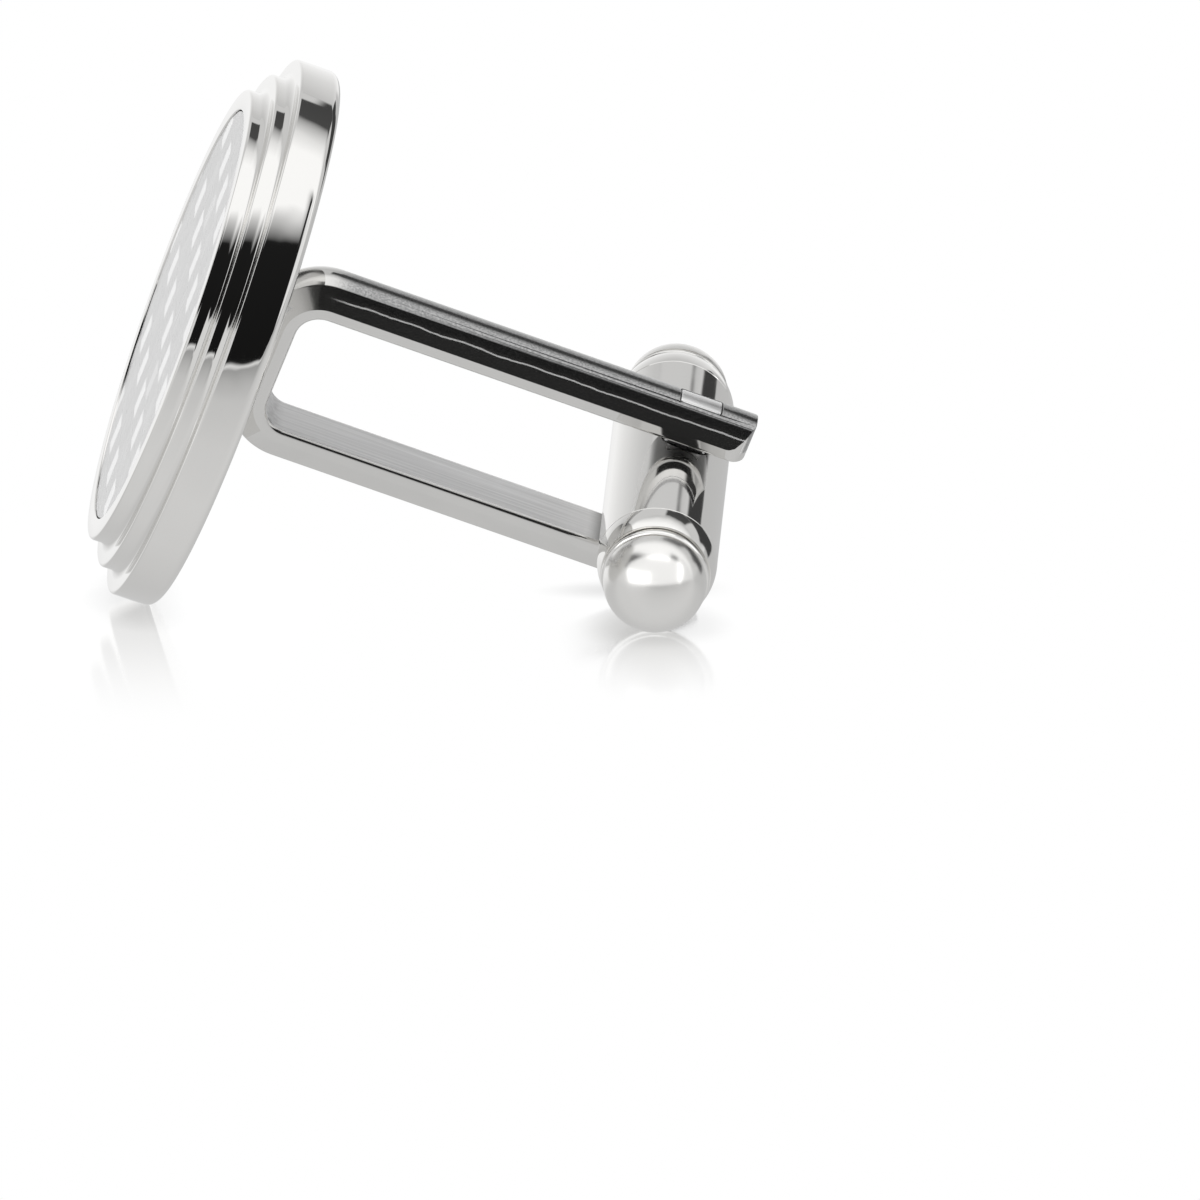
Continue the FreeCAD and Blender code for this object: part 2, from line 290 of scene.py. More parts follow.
def make_weave():
    """Disc of plain weave: each square is a low pillow where one band passes over another."""
    across = WEAVE_SQUARES_ACROSS * WEAVE_SQUARE
    turn = Matrix.Rotation(WEAVE_TURN, 3, "Z")
    corner_to_middle = Vector((0.5, 0.5, 0)) * WEAVE_SQUARE
    nearest = WEAVE_BRIGHT_SQUARE - turn @ corner_to_middle
    weave = begin(
        "weave_disc", bpy.ops.mesh.primitive_grid_add,
        x_subdivisions=WEAVE_SQUARES_ACROSS, y_subdivisions=WEAVE_SQUARES_ACROSS, size=across,
        location=(nearest.x, nearest.y, INLAY_FRONT + WEAVE_RELIEF), rotation=(0, 0, WEAVE_TURN),
    )
    bpy.ops.mesh.flip_normals()
    bpy.ops.mesh.inset(use_individual=True, thickness=WEAVE_SEAM, depth=WEAVE_RELIEF)
    bpy.ops.object.mode_set(mode="OBJECT")
    apply_modifier(weave, "SUBSURF", levels=2, render_levels=2)
    bpy.ops.object.mode_set(mode="EDIT")
    bpy.ops.mesh.select_all(action="SELECT")
    push(0, 0, 2 * (INLAY_BACK - INLAY_FRONT))
    mend()
    blank = begin(
        "weave_blank", bpy.ops.mesh.primitive_cylinder_add,
        vertices=TURNED_SIDES, radius=INLAY_RADIUS, depth=2 * INLAY_BACK, location=(0, 0, 0),
    )
    bpy.ops.object.mode_set(mode="OBJECT")
    combine(weave, blank, "INTERSECT")
    return weave


def crown_outline():
    """Half of the crown, as places across the arm and drops below its crest: round top, then flat facet."""
    points = [(ARM_CROWN_RADIUS * math.sin(a), ARM_CROWN_RADIUS * (1 - math.cos(a)))
              for a in arc(0, ARM_CROWN_SWEEP, CROWN_STEPS)]
    x, drop = points[-1]
    blend_arc = arc(ARM_CROWN_SWEEP, ARM_FACET_TILT, CORNER_STEPS)
    points += [(x + ARM_FACET_BLEND * (math.sin(a) - math.sin(blend_arc[0])),
                drop + ARM_FACET_BLEND * (math.cos(blend_arc[0]) - math.cos(a))) for a in blend_arc[1:]]
    x, drop = points[-1]
    points.append((ARM_HALF_WIDTH, drop + (ARM_HALF_WIDTH - x) * math.tan(blend_arc[-1])))
    return points


def arm_section(z):
    """D outline of the upper arm at a height: rounded inner edges, side walls and a crown."""
    edge_x = ARM_HALF_WIDTH - ARM_INNER_EDGE
    edge_y = ARM_INNER + ARM_INNER_EDGE
    crown = crown_outline()
    outline = [(-edge_x + ARM_INNER_EDGE * math.cos(a), edge_y + ARM_INNER_EDGE * math.sin(a))
               for a in arc(270, 180, CORNER_STEPS)]
    outline += [(-x, ARM_CREST - drop) for x, drop in reversed(crown)]
    outline += [(x, ARM_CREST - drop) for x, drop in crown[1:]]
    outline += [(edge_x + ARM_INNER_EDGE * math.cos(a), edge_y + ARM_INNER_EDGE * math.sin(a))
                for a in arc(0, -90, CORNER_STEPS)]
    return [Vector((x, y, z)) for x, y in outline]


def round_tips():
    """Files the corners of both arms' tips round, one flat at a time."""
    for side in (-1, 1):
        for facet in range(ARM_TIP_FACETS):
            angle = math.radians(90 * (facet + 0.5) / ARM_TIP_FACETS)
            out = Vector((side * math.cos(angle), 0, math.sin(angle)))
            middle = Vector((side * (ARM_HALF_WIDTH - ARM_TIP_RADIUS), 0, ARM_TIP - ARM_TIP_RADIUS))
            bpy.ops.mesh.select_all(action="SELECT")
            bpy.ops.mesh.bisect(
                plane_co=middle + out * ARM_TIP_RADIUS, plane_no=out, use_fill=True, clear_outer=True,
                threshold=TOUCHING)


def make_bar_shape(name, clearance):
    """Rectangular bar across the yoke with its long corners turned down."""
    bar = begin(
        name, bpy.ops.mesh.primitive_cube_add, size=2, location=(0, 0, PIVOT_Z),
        scale=(BAR_HALF_CROSSWAYS + clearance, BAR_END + clearance, BAR_HALF_LENGTHWAYS + clearance),
    )
    pick("edges", lambda edge: abs(middle_of(edge).y) < CLOSE)
    bpy.ops.mesh.bevel(offset=BAR_CORNER, segments=4, affect="EDGES")
    mend()
    return bar


def make_bar():
    """Pivot bar with both ends filed to the crowns of the arms and their edges softened."""
    bar = make_bar_shape("pivot_pin", 0)
    crown = [(x, ARM_CREST - BAR_END_DROP - drop) for x, drop in crown_outline()]
    crown = [(-x, y) for x, y in reversed(crown)] + crown[1:]
    outline = crown + [(-x, -y) for x, y in crown]
    filing = draw("bar_filing", [Vector((x, y, PIVOT_Z - ARM_TIP)) for x, y in outline])
    bpy.ops.mesh.edge_face_add()
    push(0, 0, 2 * ARM_TIP)
    mend()
    combine(bar, filing, "INTERSECT")
    bpy.ops.object.mode_set(mode="EDIT")
    pick("edges", lambda edge: edge.calc_face_angle(0) > HARD_EDGE_ANGLE
         and abs(middle_of(edge).y) > BAR_END / 2)
    bpy.ops.mesh.bevel(offset=BAR_END_EDGE, segments=3, affect="EDGES")
    mend()
    return bar


def make_foot():
    """Low pad that is soldered to the head, round at both ends."""
    straight = (FOOT_LENGTH - FOOT_WIDTH) / 2
    radius = FOOT_WIDTH / 2
    outline = []
    for start, middle in ((0, straight), (180, -straight)):
        outline += [Vector((radius * math.cos(a), middle + radius * math.sin(a), HEAD_BACK))
                    for a in arc(start, start + 180, FOOT_END_STEPS)]
    foot = draw("yoke_foot", outline)
    bpy.ops.mesh.edge_face_add()
    push(0, 0, FOOT_HEIGHT)
    pick("edges", lambda edge: all(v.co.z > HEAD_BACK + FOOT_HEIGHT - CLOSE for v in edge.verts))
    bpy.ops.mesh.bevel(offset=FOOT_EDGE, segments=5, affect="EDGES")
    mend()
    return foot


def make_yoke():
    """U bent from one D section, with rounded tips, slots for the pivot bar and a soldering foot."""
    yoke = draw("yoke_bow", arm_section(ARM_TIP))
    bpy.ops.mesh.edge_face_add()
    push(0, 0, BEND_Z - ARM_TIP)
    bpy.ops.mesh.spin(steps=BEND_STEPS, angle=math.pi / 2, center=(0, BEND_Y, BEND_Z), axis=(1, 0, 0))
    push(0, -2 * BEND_Y, 0)
    bpy.ops.mesh.spin(steps=BEND_STEPS, angle=math.pi / 2, center=(0, -BEND_Y, BEND_Z), axis=(1, 0, 0))
    push(0, 0, ARM_TIP - BEND_Z)
    round_tips()
    bpy.ops.mesh.select_all(action="SELECT")
    bpy.ops.mesh.bisect(
        plane_co=(0, 0, HEAD_BACK + WEB_SOLE), plane_no=(0, 0, -1), use_fill=True, clear_outer=True,
        threshold=TOUCHING)
    mend()
    combine(yoke, make_bar_shape("bar_slot", BAR_SLOT_CLEARANCE), "DIFFERENCE")
    bpy.ops.object.mode_set(mode="EDIT")
    pick("edges", lambda edge: edge.calc_face_angle(0) > HARD_EDGE_ANGLE
         and min(v.co.z for v in edge.verts) > BEND_Z)
    bpy.ops.mesh.bevel(offset=ARM_END_EDGE, segments=3, affect="EDGES", clamp_overlap=False)
    mend()
    combine(yoke, make_foot(), "UNION")
    return yoke


def make_barrel():
    """Tube of the toggle, with round holes across it for the pivot bar."""
    barrel = begin(
        "toggle_tube", bpy.ops.mesh.primitive_cylinder_add,
        vertices=TURNED_SIDES, radius=BARREL_RADIUS, depth=2 * BARREL_END,
        location=(0, 0, PIVOT_Z), rotation=(0, math.pi / 2, 0),
    )
    pick("faces", lambda face: abs(face.normal.x) > 0.9)
    bpy.ops.mesh.inset(thickness=BARREL_WALL)
    bpy.ops.mesh.bridge_edge_loops()
    pick("edges", lambda edge: abs(middle_of(edge).x) > BARREL_END - CLOSE
         and math.hypot(middle_of(edge).y, middle_of(edge).z - PIVOT_Z) > BARREL_RADIUS - CLOSE)
    bpy.ops.mesh.bevel(offset=BARREL_SEAM, segments=2, affect="EDGES")
    mend()
    drill = begin(
        "pivot_drill", bpy.ops.mesh.primitive_cylinder_add,
        vertices=HOLE_SIDES, radius=PIVOT_HOLE_RADIUS, depth=3 * BARREL_RADIUS,
        location=(0, 0, PIVOT_Z), rotation=(math.pi / 2, 0, 0),
    )
    bpy.ops.object.mode_set(mode="OBJECT")
    combine(barrel, drill, "DIFFERENCE")
    return barrel


def cap_outline():
    """Half section of a toggle end, as distances along the toggle and radii."""
    plug_radius = BARREL_RADIUS - BARREL_WALL - PLUG_CLEARANCE
    shoulder_radius = BARREL_RADIUS - SHOULDER_DROP
    ring_radius = shoulder_radius - RING_DROP
    dome_radius = ring_radius - DOME_DROP
    groove_radius = dome_radius - GROOVE_DEPTH
    shoulder_end = BARREL_END + SHOULDER_LENGTH
    ring_start = shoulder_end + GROOVE_WIDTH
    ring_end = ring_start + RING_WIDTH
    dome_start = ring_end + GROOVE_WIDTH
    dome_height = CAP_TIP - dome_start
    curve = (SHOULDER_LENGTH ** 2 + SHOULDER_DROP ** 2) / (2 * SHOULDER_DROP)
    sweep = math.degrees(math.asin(SHOULDER_LENGTH / curve))
    points = [
        (BARREL_END - PLUG_LENGTH, 0),
        (BARREL_END - PLUG_LENGTH, plug_radius),
        (BARREL_END, plug_radius),
        (BARREL_END, BARREL_RADIUS - BARREL_SEAM),
    ]
    start = math.degrees(math.asin(BARREL_SEAM / curve))
    points += [(BARREL_END + curve * math.sin(a), BARREL_RADIUS - curve * (1 - math.cos(a)))
               for a in arc(start, sweep, SHOULDER_STEPS)]
    points += [(shoulder_end, groove_radius), (ring_start, groove_radius)]
    bead = RING_WIDTH / 2
    points += [(ring_start + bead - bead * math.cos(a), ring_radius - bead + bead * math.sin(a))
               for a in arc(0, 180, RING_STEPS)]
    points += [(ring_end, groove_radius), (dome_start, groove_radius)]
    points += [(dome_start + dome_height * math.sin(a), dome_radius * math.cos(a))
               for a in arc(0, 90, DOME_STEPS)]
    return points


def make_caps():
    """Turned end of the toggle, and a copy of it turned round for the other end."""
    section = [Vector((-along, 0, PIVOT_Z + radius)) for along, radius in cap_outline()]
    near = draw("toggle_end_near", section)
    bpy.ops.mesh.spin(steps=TURNED_SIDES, angle=2 * math.pi, center=(0, 0, PIVOT_Z), axis=(1, 0, 0))
    mend()
    bpy.ops.object.duplicate()
    far = bpy.context.object
    far.name = far.data.name = "toggle_end_far"
    far.rotation_euler.z = math.pi
    bpy.ops.object.transform_apply(location=True, rotation=True, scale=True)
    return near, far


def node(tree, kind, inputs=(), **settings):
    """Adds a shader node, with its settings, and its inputs set or linked."""
    made = tree.nodes.new(kind)
    for name, value in settings.items():
        setattr(made, name, value)
    for key, value in dict(inputs).items():
        if isinstance(value, bpy.types.NodeSocket):
            tree.links.new(value, made.inputs[key])
        else:
            made.inputs[key].default_value = value
    return made


def calc(tree, operation, *values):
    """One sum on numbers or sockets."""
    return node(tree, "ShaderNodeMath", dict(enumerate(values)), operation=operation).outputs[0]


def vector_calc(tree, operation, *values):
    """One sum on vectors, which gives a number where it is a length or a dot product."""
    made = node(tree, "ShaderNodeVectorMath", dict(enumerate(values)), operation=operation)
    return made.outputs["Value" if operation in ("LENGTH", "DOT_PRODUCT") else "Vector"]


def product(tree, first, *others):
    """Numbers or sockets multiplied with each other."""
    for other in others:
        first = calc(tree, "MULTIPLY", first, other)
    return first


def ease(tree, value, low, high, start=0.0, end=1.0):
    """Goes smoothly from start to end as a value goes from low to high."""
    inputs = {"Value": value, "From Min": low, "From Max": high, "To Min": start, "To Max": end}
    return node(tree, "ShaderNodeMapRange", inputs, interpolation_type="SMOOTHSTEP").outputs["Result"]


def between(tree, factor, first, second):
    """Mixes two numbers."""
    return node(tree, "ShaderNodeMix", {"Factor": factor, 2: first, 3: second}).outputs[0]


def blend(tree, factor, first, second):
    """Mixes two colours."""
    mixed = node(tree, "ShaderNodeMix", {"Factor": factor, 6: first, 7: second}, data_type="RGBA")
    return mixed.outputs[2]


def grey(level):
    """Colour of one level in all channels."""
    return (level, level, level, 1)


def noise(tree, place, scale, detail=2.0, stretch=(1, 1, 1)):
    """Noise on a place, with its grain stretched by scaling the place first."""
    scaled = node(tree, "ShaderNodeMapping", {"Vector": place, "Scale": stretch}).outputs[0]
    inputs = {"Vector": scaled, "Scale": scale, "Detail": detail}
    return node(tree, "ShaderNodeTexNoise", inputs).outputs["Fac"]


def waver(tree, place, scale, detail, width):
    """Noise that strays to both sides of zero within a width."""
    return product(tree, calc(tree, "SUBTRACT", noise(tree, place, scale, detail), 0.5), width)


def relief(tree, height, distance, **others):
    """Normal of a surface that is raised by a height, from 0 to 1, times a distance."""
    inputs = {"Height": height, "Strength": 1.0, "Distance": distance, **others}
    return node(tree, "ShaderNodeBump", inputs).outputs["Normal"]


def new_material(name):
    """Material with its node tree, its shader and the piece's own coordinates."""
    material = bpy.data.materials.new(name)
    material.use_nodes = True
    tree = material.node_tree
    place = node(tree, "ShaderNodeTexCoord").outputs["Object"]
    return material, tree, tree.nodes["Principled BSDF"], place


def wire(tree, shader, **links):
    """Links sockets to the shader by name, with spaces for underscores."""
    for name, socket in links.items():
        tree.links.new(socket, shader.inputs[name.replace("_", " ")])


def polished_rhodium(name, ripple, rough_low, rough_high, axis, satin_from, satin):
    """Mirror plating with smudges, hairlines and a slight ripple, satin beyond a place on an axis."""
    material, tree, shader, place = new_material(name)
    smudge = noise(tree, place, 420, 4)
    hairline = noise(tree, place, 5200, 3, (1, 1, 0.08))
    wave = noise(tree, place, 380, 1)
    rough = calc(tree, "ADD", ease(tree, smudge, 0.3, 0.75, rough_low, rough_high),
                 product(tree, hairline, 0.02))
    reach = calc(tree, "ABSOLUTE", node(tree, "ShaderNodeSeparateXYZ", {"Vector": place}).outputs[axis])
    rough = calc(tree, "ADD", rough, ease(tree, reach, satin_from - 0.02 * MM, satin_from, 0.0, satin))
    tint = blend(tree, smudge, (0.844, 0.837, 0.821, 1), (0.87, 0.863, 0.846, 1))
    height = calc(tree, "ADD", wave, product(tree, hairline, 0.004))
    shader.inputs["Metallic"].default_value = 1.0
    wire(tree, shader, Base_Color=tint, Roughness=rough, Normal=relief(tree, height, ripple))
    return material


def yoke_rhodium():
    """Plating with painted shade, darker than the head's, a dull streak along the crown, a fine parting
    line beside it painted white as a highlight, and brushed insides with painted shade round the pivot.
    """
    material, tree, shader, place = new_material("yoke_rhodium")
    axes = node(tree, "ShaderNodeSeparateXYZ", {"Vector": place})
    across = calc(tree, "ABSOLUTE", axes.outputs["Y"])
    sideways = calc(tree, "ABSOLUTE", axes.outputs["X"])
    flat_edge = ARM_HALF_WIDTH - ARM_INNER_EDGE
    inside = product(tree, ease(tree, across, ARM_INNER + 0.02 * MM, ARM_INNER + 0.01 * MM),
                     ease(tree, sideways, flat_edge + 0.03 * MM, flat_edge))
    on_arm = ease(tree, axes.outputs["Z"], BEND_Z - 0.6 * MM, BEND_Z + 0.6 * MM)
    outside = product(tree, on_arm, ease(tree, across, ARM_INNER + 0.3 * MM, ARM_INNER + 0.4 * MM))
    wavy = calc(tree, "ADD", sideways, waver(tree, place, 900, 3, 0.08 * MM))
    narrower = ease(tree, axes.outputs["Y"], 0.5 * MM, -0.5 * MM, 0.0, LOWER_STREAK_NARROWER)
    strayed = calc(tree, "ADD", wavy, narrower)
    speck = noise(tree, place, 14000, 4)
    streak = product(tree, outside, ease(tree, strayed, STREAK_EDGE, STREAK_CORE))
    # Parting line with a painted highlight: a rough strip beside the dull streak, painted white so it shows
    # as a light line
    from_line = calc(tree, "ABSOLUTE", calc(tree, "SUBTRACT", strayed, PARTING_LINE))
    parting_line_and_highlight = product(tree, outside, ease(tree, from_line, 0.02 * MM, 0.008 * MM))
    grain = noise(tree, place, 9000, 4, (1, 1, 0.02))
    smudge = noise(tree, place, 500, 4)
    polished = ease(tree, smudge, 0.3, 0.75, 0.03, 0.07)
    brushed = ease(tree, grain, 0.25, 0.75, 0.45, 0.6)
    rough = between(tree, inside, polished, brushed)
    rough = between(tree, streak, rough, 0.16)
    rough = between(tree, parting_line_and_highlight, rough, 0.65)
    # Painted shade: the polished plating here is darker than the same plating on the head and toggle, for
    # the shade on the arms; smudges vary it at random
    bright = blend(tree, smudge, (0.71, 0.704, 0.69, 1), (0.79, 0.784, 0.77, 1))
    dull = blend(tree, ease(tree, speck, 0.3, 0.7), grey(0.29), grey(0.47))
    lined = blend(tree, ease(tree, grain, 0.3, 0.7), grey(0.86), grey(1.0))
    # Painted shade: the inner faces turn dark grey around the pivot, where the barrel sits close to them
    along = calc(tree, "SUBTRACT", axes.outputs["Z"], PIVOT_Z)
    shade_near_pivot = ease(tree, calc(tree, "ABSOLUTE", along), BARREL_RADIUS, 0.6 * BARREL_RADIUS)
    lined = blend(tree, shade_near_pivot, lined, grey(0.22))
    tint = blend(tree, inside, blend(tree, streak, bright, dull), lined)
    tint = blend(tree, parting_line_and_highlight, tint, grey(1.0))
    lines = relief(tree, grain, 0.003 * MM, Strength=inside)
    ripple = relief(tree, noise(tree, place, 420, 1), 0.008 * MM, Normal=lines)
    shader.inputs["Metallic"].default_value = 0.96
    wire(tree, shader, Base_Color=tint, Roughness=rough, Normal=ripple)
    return material


def filed_steel(name, low, high, stretch):
    """Plain steel with file or rolling marks along one axis."""
    material, tree, shader, place = new_material(name)
    marks = noise(tree, place, 8000, 4, stretch)
    shader.inputs["Metallic"].default_value = 1.0
    wire(tree, shader, Base_Color=blend(tree, marks, grey(low), grey(high)),
         Roughness=ease(tree, marks, 0.25, 0.75, 0.22, 0.4), Normal=relief(tree, marks, 0.004 * MM))
    return material


def woven_fibre():
    """Silver-white weave under resin: bright and grey squares in turn, with fibres along each band."""
    material, tree, shader, place = new_material("woven_fibre")
    moved = vector_calc(tree, "ADD", place, -WEAVE_BRIGHT_SQUARE)
    turned = node(tree, "ShaderNodeVectorRotate", {"Vector": moved, "Angle": -WEAVE_TURN},
                  rotation_type="Z_AXIS").outputs[0]
    counted = node(tree, "ShaderNodeMapping", {
        "Vector": turned, "Scale": (1 / WEAVE_SQUARE, 1 / WEAVE_SQUARE, 0), "Location": (0.5, 0.5, 0.5),
    }).outputs[0]
    square = vector_calc(tree, "FLOOR", counted)
    numbers = node(tree, "ShaderNodeSeparateXYZ", {"Vector": square})
    inner = node(tree, "ShaderNodeSeparateXYZ", {"Vector": vector_calc(tree, "FRACTION", counted)})
    odd_x = calc(tree, "FLOORED_MODULO", numbers.outputs["X"], 2.0)
    odd_y = calc(tree, "FLOORED_MODULO", numbers.outputs["Y"], 2.0)
    over = calc(tree, "COMPARE", odd_x, odd_y, 0.5)
    off_x = calc(tree, "ABSOLUTE", calc(tree, "SUBTRACT", inner.outputs["X"], 0.5))
    off_y = calc(tree, "ABSOLUTE", calc(tree, "SUBTRACT", inner.outputs["Y"], 0.5))
    square_face = product(tree, ease(tree, off_x, 0.44, 0.36), ease(tree, off_y, 0.46, 0.4))
    chance = node(tree, "ShaderNodeTexWhiteNoise", {"Vector": square}).outputs["Value"]
    weaker = ease(tree, chance, 0.5, 1.0, 0.1, 0.5)
    bright = product(tree, square_face, over, between(tree, odd_x, 1.0, weaker))
    along_x = noise(tree, turned, 16000, 3, (0.03, 1, 1))
    along_y = noise(tree, turned, 16000, 3, (1, 0.03, 1))
    fibre = between(tree, over, along_x, along_y)
    patch = ease(tree, noise(tree, turned, 260, 1), 0.35, 0.7, 0.0, 0.3)
    dull = blend(tree, patch, blend(tree, fibre, grey(0.74), grey(0.82)), grey(0.88))
    tint = blend(tree, bright, dull, blend(tree, fibre, grey(0.95), grey(1.0)))
    shader.inputs["Coat Weight"].default_value = 0.2
    shader.inputs["Coat Roughness"].default_value = 0.05
    wire(tree, shader, Base_Color=tint, Metallic=ease(tree, bright, 0.0, 1.0, 0.15, 0.95),
         Roughness=ease(tree, fibre, 0.2, 0.8, 0.25, 0.4), Normal=relief(tree, fibre, 0.003 * MM))
    return material


def bond_film():
    """Cured adhesive under the inlay, a little uneven."""
    material, tree, shader, place = new_material("bond_film")
    cloud = noise(tree, place, 900, 4)
    wire(tree, shader, Base_Color=blend(tree, cloud, grey(0.06), grey(0.11)),
         Roughness=ease(tree, cloud, 0.3, 0.7, 0.45, 0.7))
    return material


def dress(piece, material, slot, body, *nodes, keep_flats=True, angle=SMOOTH_ANGLE):
    """Smooths a piece, gives it its finish, and puts it in place of its nodes."""
    bpy.ops.object.select_all(action="DESELECT")
    piece.select_set(True)
    bpy.context.view_layer.objects.active = piece
    bpy.ops.object.shade_smooth_by_angle(angle=angle)
    if keep_flats:
        apply_modifier(piece, "WEIGHTED_NORMAL", keep_sharp=True)
    piece.data.materials.clear()
    piece.data.materials.append(material)
    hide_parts(*nodes)
    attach(piece, body)


def finish_node(name, material):
    """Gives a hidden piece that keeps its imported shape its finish."""
    mesh = frame["nodes"][name].data
    mesh.materials.clear()
    mesh.materials.append(material)


def make_world():
    """White studio with a dark gap behind an overhead light and a dark room in front of it."""
    world = bpy.data.worlds.new("studio")
    bpy.context.scene.world = world
    world.use_nodes = True
    tree = world.node_tree
    tree.nodes.clear()
    way = node(tree, "ShaderNodeTexCoord").outputs["Generated"]

    def from_overhead(low, high, first=0.0, last=1.0):
        """Eases on the angle from overhead, given in degrees."""
        return ease(tree, over, math.radians(low), math.radians(high), first, last)

    up = vector_calc(tree, "DOT_PRODUCT", way, STUDIO_UP)
    front = vector_calc(tree, "DOT_PRODUCT", way, STUDIO_FRONT)
    right = vector_calc(tree, "DOT_PRODUCT", way, STUDIO_RIGHT)
    over = calc(tree, "ADD", calc(tree, "ARCTAN2", front, up), waver(tree, way, 5, 1, math.radians(5)))
    # The overhead light reaches less far to the front on its left side
    leftwards = calc(tree, "MINIMUM", right, 0.0)
    shift = product(tree, leftwards, leftwards, math.radians(71), from_overhead(-45, -10))
    turn = calc(tree, "MULTIPLY_ADD", calc(tree, "ADD", over, shift), 1 / (2 * math.pi), 0.5)
    ramp = node(tree, "ShaderNodeValToRGB", {"Fac": turn})
    # Angle from overhead, to the back below zero and to the front above it, and brightness there
    zones = (
        (-180, 0.68), (-140, 0.6), (-112, 0.6), (-98, 0.95), (-90, 0.98), (-50.5, 0.6), (-49.5, 0.06),
        (-30.5, 0.07), (-29, 0.35), (-20, 0.85), (-10, 1.1), (20, 1.1), (30, 0.5), (38, 0.012),
        (90, 0.008), (90.6, 0.85), (91.8, 0.8), (92.6, 0.35), (99, 0.5), (106, 0.61), (127, 0.67),
        (156, 0.7), (180, 0.68),
    )
    stops = ramp.color_ramp.elements
    for angle, brightness in zones[1:-1]:
        stops.new(angle / 360 + 0.5)
    for stop, (angle, brightness) in zip(stops, zones):
        stop.color = grey(brightness)
    # Where the dark gap is closed: on its left, further in towards the back, and on its far right
    gap_left = calc(tree, "SUBTRACT", right, from_overhead(-42, -46, 0.0, 0.13))
    gap_ends = calc(tree, "MAXIMUM", ease(tree, gap_left, 0.2, 0.14), ease(tree, right, 0.55, 0.6))
    gap_filled = product(tree, from_overhead(-52, -49), from_overhead(-20, -30), gap_ends)
    # White card low on the left and a light wall on the right, both in front
    in_front = product(tree, ease(tree, front, -0.02, 0.02), ease(tree, up, -0.01, 0.01))
    card = product(tree, in_front, ease(tree, up, 0.43, 0.39), ease(tree, right, -0.16, -0.2))
    right_wall = product(tree, in_front, ease(tree, right, 0.74, 0.8))
    # Shaded floor and a black flag behind on the right
    spread = calc(tree, "ADD", right, from_overhead(-88, -96, 0.0, 0.3))
    shaded_floor = product(
        tree, from_overhead(-66, -74), from_overhead(-125, -112), ease(tree, spread, 0.33, 0.43))
    widened = calc(tree, "ADD", right, from_overhead(-74, -67, 0.0, 0.13))
    flag = product(
        tree, ease(tree, widened, 0.55, 0.58), ease(tree, right, 0.86, 0.82),
        from_overhead(-92, -88), from_overhead(-48, -52))
    # The dark room reaches further overhead on the right
    room_side = product(
        tree, from_overhead(6, 14), from_overhead(42, 36), ease(tree, right, 0.47, 0.53),
        ease(tree, right, 0.74, 0.68))
    level = ramp.outputs["Color"]
    patches = (
        (gap_filled, 0.65), (card, 0.74), (right_wall, 0.85), (shaded_floor, 0.55), (flag, 0.05),
        (room_side, 0.03),
    )
    for mask, brightness in patches:
        level = blend(tree, mask, level, grey(brightness))
    studio = node(tree, "ShaderNodeBackground", {"Color": level, "Strength": 1.0}).outputs[0]
    white = node(tree, "ShaderNodeBackground", {"Color": grey(1), "Strength": 1.0}).outputs[0]
    seen = node(tree, "ShaderNodeLightPath").outputs["Is Camera Ray"]
    mixed = node(tree, "ShaderNodeMixShader", {0: seen, 1: studio, 2: white}).outputs[0]
    node(tree, "ShaderNodeOutputWorld", {"Surface": mixed})


def floor_finish(name, reach, contacts, grazing):
    """White floor with soft contact shadows, and reflections that fade away from where it is touched."""
    material, tree, shader, place = new_material(name)
    tree.nodes.remove(shader)
    contact = node(tree, "ShaderNodeAmbientOcclusion", {"Distance": reach}, samples=6).outputs["AO"]
    shade = ease(tree, contact, 0.0, 1.0, 0.6, 1.0)
    shaded = node(tree, "ShaderNodeEmission", {"Color": shade}).outputs[0]
    gloss = node(tree, "ShaderNodeBsdfGlossy", {"Color": grey(1.2), "Roughness": 0.1}).outputs[0]
    sheen = 0.0
    for x, y, reach_x, reach_y, strength in contacts:
        offset = vector_calc(tree, "ADD", place, (-x, -y, 0))
        share = vector_calc(tree, "MULTIPLY", offset, (1 / reach_x, 1 / reach_y, 0))
        far_off = vector_calc(tree, "LENGTH", share)
        sheen = calc(tree, "MAXIMUM", sheen, ease(tree, far_off, 1.0, 0.0, 0.0, strength))
    # A grazing floor reflects only where it is seen at a low angle
    if grazing:
        facing = node(tree, "ShaderNodeLayerWeight", {"Blend": 0.5}).outputs["Facing"]
        sheen = product(tree, sheen, ease(tree, facing, 0.73, 0.76))
    surface = node(tree, "ShaderNodeMixShader", {0: sheen, 1: shaded, 2: gloss}).outputs[0]
    # From below, the floor is clear
    cover = calc(tree, "SUBTRACT", 1.0, node(tree, "ShaderNodeNewGeometry").outputs["Backfacing"])
    clear = node(tree, "ShaderNodeBsdfTransparent").outputs[0]
    seen = node(tree, "ShaderNodeMixShader", {0: cover, 1: clear, 2: surface}).outputs[0]
    tree.links.new(seen, tree.nodes["Material Output"].inputs["Surface"])
    return material


def make_floor(name, middle, front, right, up, radius, finish):
    """Round floor, seen by the camera only, with X to the front and Y to the right."""
    bpy.ops.object.select_all(action="DESELECT")
    bpy.ops.mesh.primitive_circle_add(vertices=FLOOR_SIDES, radius=radius, fill_type="NGON")
    floor = bpy.context.object
    floor.name = floor.data.name = name
    floor.matrix_world = Matrix.Translation(middle) @ Matrix((front, right, up)).transposed().to_4x4()
    floor.visible_shadow = False
    floor.visible_diffuse = False
    floor.visible_glossy = False
    floor.visible_transmission = False
    floor.data.materials.append(finish)


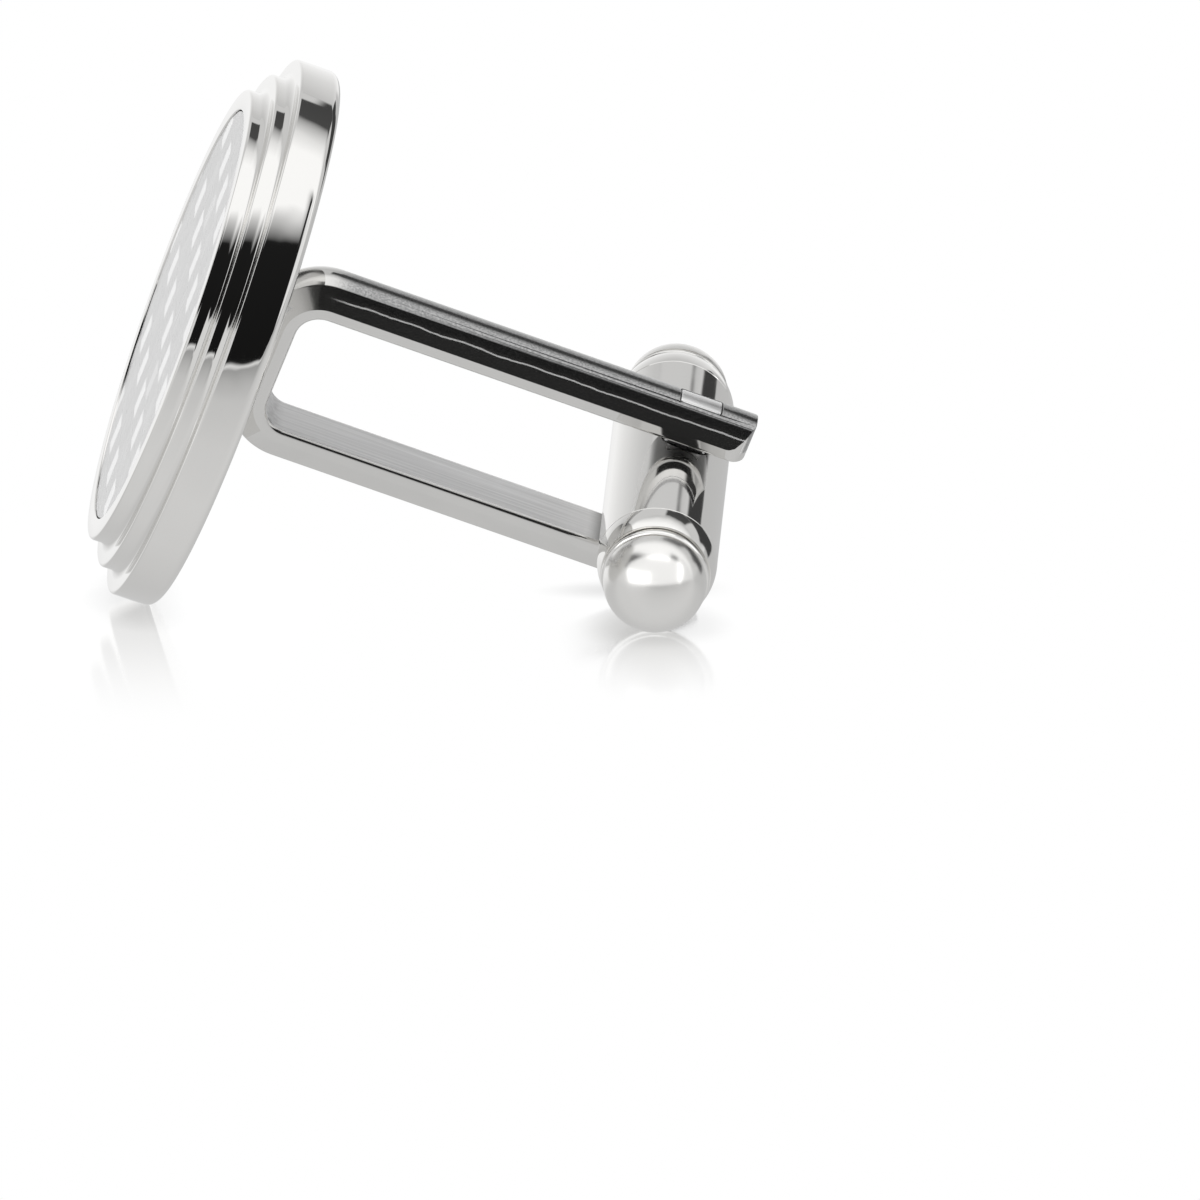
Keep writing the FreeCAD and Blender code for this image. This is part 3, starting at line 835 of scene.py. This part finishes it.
def make_dome_light(near, far):
    """Soft lamp in front that lights the domed ends of the toggle only."""
    lit = bpy.data.collections.new("domed_ends")
    lit.objects.link(near)
    lit.objects.link(far)
    data = bpy.data.lights.new("dome_light", "AREA")
    data.shape = "RECTANGLE"
    data.size = DOME_LIGHT_WIDTH
    data.size_y = DOME_LIGHT_HEIGHT
    data.energy = DOME_LIGHT_LEVEL * math.pi * DOME_LIGHT_WIDTH * DOME_LIGHT_HEIGHT
    lamp = bpy.data.objects.new("dome_light", data)
    bpy.context.scene.collection.objects.link(lamp)
    lamp.location = Vector((-CAP_TIP, 0, PIVOT_Z)) + DOME_LIGHT_WAY * DOME_LIGHT_DISTANCE
    axes = Matrix((STUDIO_RIGHT, DOME_LIGHT_WAY.cross(STUDIO_RIGHT), DOME_LIGHT_WAY)).transposed()
    lamp.rotation_mode = "QUATERNION"
    lamp.rotation_quaternion = axes.to_quaternion()
    lamp.visible_camera = False
    lamp.light_linking.receiver_collection = lit


def make_camera():
    """Long lens at the photograph's viewing angle."""
    data = bpy.data.cameras.new("photo_camera")
    camera = bpy.data.objects.new("photo_camera", data)
    bpy.context.scene.collection.objects.link(camera)
    data.sensor_width = SENSOR_WIDTH
    data.lens = SENSOR_WIDTH * VIEW_DISTANCE / VIEW_WIDTH
    data.clip_start = VIEW_DISTANCE / 100
    data.clip_end = VIEW_DISTANCE * 10
    turn = Matrix((VIEW_RIGHT, VIEW_UP, VIEW_BACK)).transposed().to_quaternion().normalized()
    camera.rotation_mode = "QUATERNION"
    camera.rotation_quaternion = turn
    camera.location = VIEW_AIM + turn @ Vector((0, 0, VIEW_DISTANCE))
    bpy.context.scene.camera = camera


def main():
    """Makes the pieces, dresses them, and sets up the studio and the camera."""
    head = make_head()
    weave = make_weave()
    yoke = make_yoke()
    bar = make_bar()
    barrel = make_barrel()
    near, far = make_caps()

    head_plate = polished_rhodium(
        "head_rhodium", ripple=0.024 * MM, rough_low=0.02, rough_high=0.045,
        axis="Z", satin_from=HEAD_BACK - 0.01 * MM, satin=0.16)
    toggle_plate = polished_rhodium(
        "toggle_rhodium", ripple=0.006 * MM, rough_low=0.04, rough_high=0.08,
        axis="X", satin_from=CAP_TIP - DOME_SATIN_LENGTH, satin=0.15)
    bar_steel = filed_steel("bar_steel", low=0.8, high=0.92, stretch=(1, 1, 0.05))
    spring_steel = filed_steel("spring_steel", low=0.48, high=0.6, stretch=(0.05, 1, 1))
    dress(head, head_plate, "polished_rhodium", "head", "stepped_head", keep_flats=False)
    dress(weave, woven_fibre(), "woven_fibre", "head", "woven_inlay")
    dress(yoke, yoke_rhodium(), "yoke_rhodium", "head", "yoke", angle=SHARP_EDGE_ANGLE)
    dress(bar, bar_steel, "bar_steel", "head", "pivot_bar")
    dress(barrel, toggle_plate, "polished_rhodium", "toggle", "toggle_barrel", angle=SHARP_EDGE_ANGLE)
    dress(near, toggle_plate, "polished_rhodium", "toggle", "toggle_cap_near", keep_flats=False)
    dress(far, toggle_plate, "polished_rhodium", "toggle", "toggle_cap_far", keep_flats=False)
    finish_node("inlay_adhesive", bond_film())
    for spring in ("detent_spring_upper", "detent_spring_lower"):
        finish_node(spring, spring_steel)

    make_world()
    make_dome_light(near, far)
    # Each contact: its place to the front and to the right, how far it reaches both ways, and its strength
    table_contact = (0, 0, 25 * MM, 25 * MM, 0.2)
    make_floor(
        "table", Vector((0, 0, TABLE_LEVEL)), Vector((1, 0, 0)), Vector((0, 1, 0)), Vector((0, 0, 1)),
        TABLE_RADIUS, floor_finish("table_white", 8 * MM, [table_contact], grazing=False))
    contacts = [
        (RIM_CONTACT @ STUDIO_FRONT, RIM_CONTACT @ STUDIO_RIGHT, 20 * MM, 7 * MM, 0.6),
        (DOME_CONTACT @ STUDIO_FRONT, DOME_CONTACT @ STUDIO_RIGHT, 12 * MM, 3.4 * MM, 0.8),
    ]
    make_floor(
        "studio_floor", STUDIO_UP * FLOOR_LEVEL, STUDIO_FRONT, STUDIO_RIGHT, STUDIO_UP,
        FLOOR_RADIUS, floor_finish("studio_white", 1.5 * MM, contacts, grazing=True))
    make_camera()
    bpy.context.scene.view_settings.view_transform = "Standard"


main()
